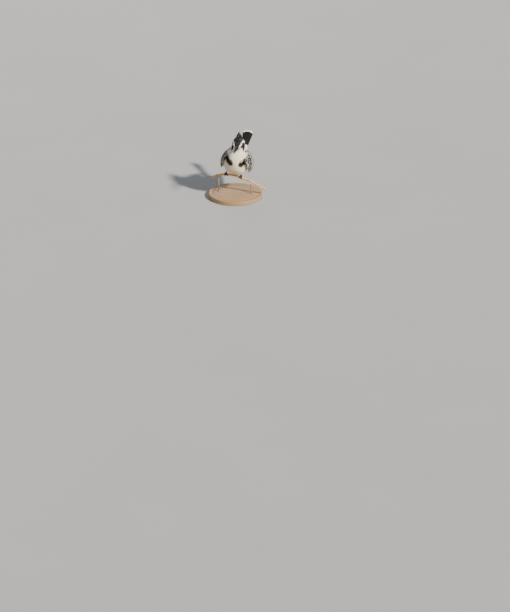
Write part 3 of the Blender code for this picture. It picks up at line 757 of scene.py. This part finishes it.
def makeTail():
    # twelve long vanes laid over each other, the middle pair on top, black between a spotted white root
    # and white tips
    count, rings = 12, 26
    place = (np.arange(count) - 5.5) / 5.5
    x = np.linspace(0, 1, rings)
    across = place[:, None] * (0.45 + 0.50 * x[None])
    ends = 1.0 - 0.045 * np.abs(place) ** 3 - 0.055 * (1 - step(0.05, 0.35, np.abs(place)))
    share = x[None] * ends[:, None]
    normal = normalOf(tailAt, share, across)
    order = (0.9 - 1.5 * np.abs(place))[:, None]
    lift = (order + 0.5 * (1 - x[None])) * 0.75
    centre = tailAt(share, across) + normal * (lift * mm)[..., None]
    half = (2.4 + 1.15 * x)[None] * leafWidth(x, 0.86, 0.8)[None] * np.ones((count, 1)) * mm
    wavy = share + 0.012 * np.sin(np.arange(count) * 2.4)[:, None]
    black = step(0.36, 0.39, wavy) * (1 - step(0.925, 0.945, x))
    dark = np.maximum(black, tailSpots(share, place[:, None]) * (1 - step(0.925, 0.945, x)))
    uv = np.stack([0.5 + place * 0.46, np.linspace(0.03, 0.97, count)], 1)
    marks = {"dark": dark, "fringe": np.zeros(count), "tone": rng.uniform(0, 1, count)}
    tilt = 0.06 * np.sign(place)
    piece = makeVanes("tailVanes", tailCoat, centre, normal, half, uv, marks, tilt=tilt, **flight)
    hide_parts("tail")
    # short coverts over and under its root
    small, rings = 46, 7
    x = np.linspace(0, 1, rings)
    for name, flip in (("tailCovertsUpper", 1), ("tailCovertsUnder", -1)):
        place = rng.uniform(-0.95, 0.95, small)
        start = rng.uniform(-0.12, 0.10, small)
        share = start[:, None] + (0.20 + 0.06 * rng.uniform(0, 1, small))[:, None] * x
        across = place[:, None] * (1 + 0 * x)
        normal = normalOf(tailAt, share, across) * flip
        bulge = 2.4 * (1 - step(-0.1, 0.30, share)) * np.sqrt(1 - place[:, None] ** 2 * 0.9) + 0.9
        centre = tailAt(share, across) + normal * ((bulge + 0.4 * x) * mm)[..., None]
        half = 2.2 * leafWidth(x, 0.45, 0.5)[None] * np.ones((small, 1)) * mm
        dark = (flip > 0) * tailSpots(share, across)
        uv = np.stack([0.5 + place * 0.46, 0.05 + 0.9 * (start + 0.12) / 0.22], 1)
        marks = {"dark": dark, "fringe": np.zeros(small), "tone": rng.uniform(0, 1, small)}
        piece = makeVanes(name, backCoat, centre, normal, half, uv, marks, 0.1, 0.12)
    print("tail")


def makeThighs():
    # a soft cone of white vanes from the belly down to each ankle
    for side in ("left", "right"):
        low, high = (np.array(corner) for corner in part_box("thigh_" + side))
        middle = (low + high) / 2
        count, rings = 150, 5
        angle, level = rng.uniform(0, 2 * np.pi, count), rng.uniform(0, 1, count)
        x = np.linspace(0, 1, rings)
        ankle = np.array([middle[0], middle[1], low[2] + 0.0002])
        top = np.array([middle[0] * 0.9, middle[1], high[2] + 0.002])
        height = level[:, None] * 0.6 + 0.42 * x[None]
        radius = (5.2 - 3.2 * height) * mm
        around = np.stack([np.cos(angle), np.sin(angle), 0 * angle], 1)[:, None]
        centre = top + (ankle - top) * height[..., None] + around * radius[..., None]
        normal = around + 0 * centre
        half = 1.0 * leafWidth(x, 0.3, 0.6)[None] * np.ones((count, 1)) * mm
        uv = np.stack([0.02 + 0.96 * angle / (2 * np.pi), 0.02 + 0.96 * level], 1)
        marks = {"dark": np.zeros(count), "fringe": np.zeros(count), "tone": rng.uniform(0, 1, count)}
        piece = makeVanes("thighCoat_" + side, softCoat, centre, normal, half, uv, marks)
        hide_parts("thigh_" + side)


def hornLook(name, colour, pale, roughness):
    look = Look(name, Specular_IOR_Level=0.25)
    grain = look.noise(420.0, 4.0, stretch=(6.0, 0.6, 6.0))
    wear = look.noise(160.0, 3.0)
    shade = look.blend(grain * 0.6 + wear.ramp(0.5, 0.8) * 0.3, colour, pale)
    return look.finish(shade, roughness + wear * 0.14, look.bump(grain, 0.25, 0.0001))


billLook = hornLook("billHorn", (0.005, 0.005, 0.006), (0.020, 0.019, 0.019), 0.38)
clawLook = hornLook("clawHorn", (0.008, 0.007, 0.007), (0.03, 0.027, 0.024), 0.36)


def makeBill():
    # a half ellipse over a flat gape, tapering to the tip, with a ridge along the culmen
    rows, columns = 70, 26
    share = np.linspace(0, 1, rows)
    length, tip = billShape["length"], billShape["tip"]
    half = (tip + (billShape["half"] - tip) * (1 - share) ** 0.93)[:, None]
    for name, depth, sign in (("billUpper", billShape["upper"], 1), ("billLower", billShape["lower"], -1)):
        deep = 0.4 + (depth - 0.4) * (1 - share**1.12)
        angle = np.linspace(0, np.pi, columns)
        over = np.stack([half * np.cos(angle), share[:, None] * length + 0 * angle,
                         deep[:, None] * np.sin(angle) ** 1.1], -1)
        over[..., 0] *= 1 - 0.07 * np.exp(-(np.sin(angle) / 0.16) ** 2)
        groove = np.exp(-((angle - 0.85) / 0.13) ** 2) + np.exp(-((np.pi - angle - 0.85) / 0.13) ** 2)
        fade = 1 - step(0.10, 0.42, share)
        if sign > 0:
            over[..., 2] -= 0.28 * groove * fade[:, None]
            over[..., 0] *= 1 - 0.04 * groove * fade[:, None]
        under = np.stack([half * np.array([-0.5, 0.5]), share[:, None] * length + np.zeros(2),
                          np.zeros((rows, 2))], -1)
        ring = np.concatenate([over, under], 1)
        ring[..., 2] = sign * (ring[..., 2] + 0.06)
        along, height = ring[..., 1].copy(), ring[..., 2].copy()
        rise = billShape["rise"]
        ring[..., 1] = billShape["root"][0] - 1.6 + along * math.cos(rise) * 1.027 - height * math.sin(rise)
        ring[..., 2] = billShape["root"][1] + height * math.cos(rise) + along * math.sin(rise)
        piece = closedRings(name, toWorld(turned(ring, 1.0)), billLook)
        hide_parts("bill_upper" if sign > 0 else "bill_lower")


def eyeLook():
    look = Look("eyeDark", Roughness=0.04, Specular_IOR_Level=0.6, Coat_Weight=1.0, Coat_Roughness=0.02)
    u, v = look.uv("disc")
    streaks = look.noise(1800.0, 2.0)
    iris = look.blend(streaks, (0.030, 0.014, 0.007), (0.012, 0.006, 0.004))
    pupil = 1 - v.ramp(0.20, 0.24)
    return look.finish(look.blend(pupil, iris, (0.002, 0.002, 0.002)))


def lidLook():
    look = Look("eyeLid", Roughness=0.5)
    grain = look.noise(3000.0, 2.0)
    colour = look.blend(grain, (0.012, 0.012, 0.013), (0.05, 0.048, 0.047))
    return look.finish(colour, None, look.bump(grain, 0.4, 0.0001))


def makeEyes():
    # a ball of rings about the axis that it looks along, the axis times the cosine plus the ring times
    # the sine, and a thin ring of skin round it
    dark, lid = eyeLook(), lidLook()
    for side, sign in (("left", 1), ("right", -1)):
        local = np.array([sign * eyeShape["side"], eyeShape["forward"], eyeShape["height"]])
        centre = toWorld(turned(local, 1.0))
        out = unit(toWorld(turned(local + np.array([sign * 1.0, 0.30, 0.06]), 1.0)) - centre)
        first = unit(np.cross(out, np.array([0, 0, 1.0])))
        second = np.cross(first, out)
        polar, around = grid(np.linspace(0.02, np.pi - 0.02, 40), fullTurn(48))
        radial = first * np.cos(around)[..., None] + second * np.sin(around)[..., None]
        ball = out * np.cos(polar)[..., None] + radial * np.sin(polar)[..., None]
        ball = centre + eyeShape["radius"] * mm * ball
        piece = closedRings("eyeBall_" + side, ball, dark)
        setUV(piece, "disc", np.stack([around / (2 * np.pi), polar / np.pi], -1))
        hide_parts("eye_" + side)
        rows, columns = 48, 10
        ringAngle, tube = grid(fullTurn(rows), fullTurn(columns))
        radial = first * np.cos(ringAngle)[..., None] + second * np.sin(ringAngle)[..., None] * 0.9
        lidRadius = eyeShape["lid"] + eyeShape["lidThick"] * np.cos(tube)
        lidForward = eyeShape["lidOut"] + eyeShape["lidThick"] * np.sin(tube)
        rim = centre + (radial * lidRadius[..., None] + out * lidForward[..., None]) * mm
        faces = gridFaces(rows + 1, columns) % (rows * columns)  # the last ring is the first again
        outward(makeMesh("eyeLid_" + side, rim, faces.tolist(), lid))


def scaleLook():
    look = Look("footScales", Specular_IOR_Level=0.4)
    cells = look.add("ShaderNodeTexVoronoi", {"feature": "DISTANCE_TO_EDGE"},
                     {"Vector": look.place(), "Scale": 1300.0})
    grain = look.noise(700.0, 3.0)
    shade = cells.ramp(0.0, 0.12) * 0.6 + grain * 0.4
    colour = look.blend(shade, (0.012, 0.011, 0.010), (0.05, 0.044, 0.040))
    return look.finish(colour, 0.62 - grain * 0.15, look.bump(cells.ramp(0.0, 0.16), 0.55, 0.00018))


def dressFeet():
    scales = scaleLook()
    for name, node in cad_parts.items():
        if name.startswith("foot_"):
            node.data.materials[0] = scales
        if name.startswith("claw_"):
            node.data.materials[0] = clawLook


reed = {
    "line": ((-61, -11), (-53, -4.8), (-41, -0.2), (-25, 2.4), (-5, 1.2),
             (14, -2.8), (37, -10.6), (54, -19), (80, -32)),
    "radius": 2.8, "joints": (0.17, 0.73), "swell": 0.55,
}


def reedLook():
    look = Look("dryReed", Specular_IOR_Level=0.45)
    u, v = look.uv("stem")
    lines = look.noise(1.0, 3.0, spot=look.add("ShaderNodeCombineXYZ", {}, {0: u * 60.0, 1: v * 5.0}))
    patches = look.noise(70.0, 3.0)
    spots = look.noise(420.0, 2.0)
    colour = look.blend(lines.ramp(0.3, 0.7), (0.62, 0.29, 0.10), (0.80, 0.45, 0.19))
    colour = look.blend(patches.ramp(0.52, 0.75) * 0.6, colour, (0.42, 0.20, 0.08))
    colour = look.blend(spots.ramp(0.66, 0.74) * 0.6, colour, (0.16, 0.09, 0.05))
    ringed = 1 - abs(v - reed["joints"][0]).atMost(abs(v - reed["joints"][1])).ramp(0.006, 0.016)
    colour = look.blend(ringed * 0.55, colour, (0.20, 0.10, 0.045))
    return look.finish(colour, 0.42 + patches * 0.2, look.bump(lines * 0.7 + spots * 0.3, 0.35, 0.0002))


def makeReed():
    # a round tube along the reed's middle line, swollen at each joint with a small lip, finely ribbed
    rows, columns = 300, 40
    share = np.linspace(0, 1, rows)
    line = smoothRows(reed["line"], share * (len(reed["line"]) - 1))
    centre = np.stack([line[:, 0], 0 * share, pose["level"] + line[:, 1]], 1) * mm
    along = unit(np.gradient(centre, axis=0))
    front = np.array([0, -1.0, 0]) + 0 * along
    up = np.cross(along, front)
    up = up * np.sign(up[:, 2:3])
    swell = 0
    for joint in reed["joints"]:
        lip = 0.5 * np.exp(-((share - joint - 0.012) / 0.004) ** 2)
        swell = swell + np.exp(-((share - joint) / 0.011) ** 2) + lip
    angle = fullTurn(columns)
    radius = (reed["radius"] * (1.06 - 0.12 * share) + 0.8 * reed["swell"] * swell)[:, None]
    radius = radius * (1 + 0.012 * np.sin(angle * 9)[None])
    away = up[:, None] * np.sin(angle)[:, None] + front[:, None] * np.cos(angle)[:, None]
    rings = centre[:, None] + radius[..., None] * mm * away
    piece = closedRings("reedStem", rings, reedLook())
    along, around = grid(share, np.sin(angle / 2))
    setUV(piece, "stem", np.stack([around, along], -1))
    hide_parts("perch_reed")


stand = {"radius": 70.0, "height": 12.0, "edge": 1.8, "rods": (-44.0, 42.0), "rodRadius": 2.0}


def woodLook():
    look = Look("oiledWood", Specular_IOR_Level=0.4, Coat_Weight=0.15, Coat_Roughness=0.3)
    x, y, z = look.axes(look.place())
    drift = look.noise(9.0, 3.0)
    rings = ((x * 160.0 + drift * 9.0 + z * 40.0) * (2 * math.pi)).wave() * 0.5 + 0.5
    pores = look.noise(130.0, 4.0, stretch=(9.0, 0.7, 9.0))
    colour = look.blend(rings * 0.22 + pores * 0.6, (0.30, 0.18, 0.095), (0.44, 0.29, 0.165))
    colour = look.blend(pores.ramp(0.60, 0.72) * 0.4, colour, (0.20, 0.11, 0.06))
    return look.finish(colour, 0.40 + pores * 0.2, look.bump(pores, 0.12, 0.0002))


def steelLook():
    look = Look("brushedSteel", Metallic=1.0)
    x, y, z = look.axes(look.place())
    brushed = look.add("ShaderNodeCombineXYZ", {}, {0: x * 300.0, 1: y * 300.0, 2: z * 9000.0})
    lines = look.noise(1.0, 4.0, spot=brushed)
    colour = look.blend(lines, (0.50, 0.50, 0.51), (0.66, 0.66, 0.67))
    return look.finish(colour, 0.24 + lines * 0.14, look.bump(lines, 0.10, 0.00005))


def turnedProfile(name, profile, centre, material, sides=160):
    # a profile of (radius, height) in millimetres turned about an upright line
    profile = np.array(profile, float)
    radius, angle = grid(profile[:, 0], fullTurn(sides))
    height = np.broadcast_to(profile[:, 1:2], radius.shape)
    rings = np.stack([radius * np.cos(angle), radius * np.sin(angle), height], -1)
    return closedRings(name, (rings + np.array([*centre, 0.0])) * mm, material)


def makeStand():
    wood, steel = woodLook(), steelLook()
    radius, height, edge = stand["radius"], stand["height"], stand["edge"]
    bend = np.linspace(0, np.pi / 2, 9)
    foot = edge * 0.5
    lower = [(radius - foot + foot * math.sin(b), foot - foot * math.cos(b)) for b in bend]
    upper = [(radius - edge + edge * math.cos(b), height - edge + edge * math.sin(b)) for b in bend]
    groove = [(radius - 6.0, height), (radius - 6.6, height - 0.5), (radius - 7.2, height - 0.5),
              (radius - 7.8, height)]
    under, over = [(0.4, 0.0), (radius * 0.5, 0.0)], [(radius * 0.5, height), (0.4, height)]
    profile = under + lower + upper + groove + over
    base = turnedProfile("stand_baseTurned", profile, (0, 0), wood)
    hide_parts("stand_base")
    line = smoothRows(reed["line"], np.linspace(0, len(reed["line"]) - 1, 400))
    for side, place in zip(("right", "left"), stand["rods"]):
        top = pose["level"] + np.interp(place, line[:, 0], line[:, 1]) - reed["radius"] * 0.9
        rod = stand["rodRadius"]
        profile = [(0.05, height - 1), (rod, height - 1), (rod, top - 6), (rod * 0.9, top - 5),
                   (rod * 0.62, top), (0.05, top)]
        piece = turnedProfile("stand_rodTurned_" + side, profile, (place, 0), steel, 40)
        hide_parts("stand_rod_" + side)
        inside, outside, low, high = rod + 0.05, rod + 2.4, height - 0.2, height + 1.5
        collar = [(inside, low), (outside, low), (outside, high - 0.5), (outside - 0.5, high), (inside, high)]
        turnedProfile("stand_collar_" + side, collar, (place, 0), steel, 48)


def floorLook():
    look = Look("paleFloor", Roughness=0.9, Specular_IOR_Level=0.1)
    grain = look.noise(3.0, 2.0)
    return look.finish(look.blend(grain, (0.37, 0.385, 0.40), (0.40, 0.415, 0.43)))


def makeFloor():
    reach, drop = 30.0, -0.00005
    corners = [(-reach, -reach, drop), (reach, -reach, drop), (reach, reach, drop), (-reach, reach, drop)]
    mesh = bpy.data.meshes.new("studioFloor")
    mesh.from_pydata(corners, [], [(0, 1, 2, 3)])
    mesh.materials.append(floorLook())
    floor = bpy.data.objects.new("studioFloor", mesh)
    bpy.context.scene.collection.objects.link(floor)


def aimed(thing, place, target):
    # puts a camera or a light at a place, looking at a target
    back = unit(np.array(place, float) - np.array(target, float))
    right = unit(np.cross(np.array([0, 0, 1.0]), back))
    up = np.cross(back, right)
    matrix = np.eye(4)
    matrix[:3, 0], matrix[:3, 1], matrix[:3, 2], matrix[:3, 3] = right, up, back, place
    thing.matrix_world = Matrix(matrix.tolist())
    bpy.context.scene.collection.objects.link(thing)


view = {
    "azimuth": math.radians(12), "elevation": math.radians(21), "away": 12.6,
    "tall": 1.5912,  # from the frame's top to its bottom at the bird's distance, in metres
    "bird": (0.004, 0.0, 0.125), "aside": 0.0463, "below": 0.4007,  # from the bird to the frame's middle
}


def makeCamera():
    azimuth, elevation = view["azimuth"], view["elevation"]
    flat = math.cos(elevation)
    towards = np.array([math.sin(azimuth) * flat, -math.cos(azimuth) * flat, math.sin(elevation)])
    bird = np.array(view["bird"])
    place = bird + towards * view["away"]
    right = unit(np.cross(np.array([0, 0, 1.0]), towards))
    up = np.cross(towards, right)
    target = bird + right * view["aside"] - up * view["below"]
    data = bpy.data.cameras.new("camera")
    data.sensor_width = 36.0
    data.lens = data.sensor_width * view["away"] / view["tall"]
    data.clip_end = 200.0
    camera = bpy.data.objects.new("camera", data)
    aimed(camera, place, target)
    bpy.context.scene.camera = camera


lamps = {  # kind, energy, size or sun's angle, colour, place
    "key": ("SUN", 7.3, math.radians(5), (1.0, 0.92, 0.80), (3.3, -1.9, 2.9)),
    "fill": ("AREA", 7.0, 2.5, (0.92, 0.96, 1.0), (-2.4, -2.0, 2.2)),
    "rim": ("AREA", 22.0, 1.6, (1.0, 0.97, 0.92), (-1.2, 2.6, 2.2)),
}


def makeLights():
    for name, (kind, energy, size, colour, place) in lamps.items():
        lamp = bpy.data.lights.new(name, kind)
        lamp.energy, lamp.color = energy, colour
        setattr(lamp, "angle" if kind == "SUN" else "size", size)
        aimed(bpy.data.objects.new(name, lamp), place, (0, 0, 0.1))
    world = bpy.data.worlds.new("studio")
    world.use_nodes = True
    background = world.node_tree.nodes["Background"]
    background.inputs["Color"].default_value = (0.93, 0.96, 1.0, 1)
    background.inputs["Strength"].default_value = 0.34
    bpy.context.scene.world = world


makeFloor()
makeLights()
makeCamera()
print("floor, lights and camera")
makeSkin()
print("skin")
makeCoat()
makeScapulars()
makeCrest()
print("crest")
makeWings()
makeTail()
makeThighs()
makeBill()
makeEyes()
dressFeet()
print("bill, eyes and feet")
makeReed()
makeStand()
print("reed and stand")
makeLining()
print("wing lining")

triangles = {piece.name: sum(len(face.vertices) - 2 for face in piece.data.polygons)
             for piece in bpy.context.scene.objects if piece.type == "MESH"}
print("triangles", sum(triangles.values()), "largest", max(triangles.items(), key=lambda item: item[1]))
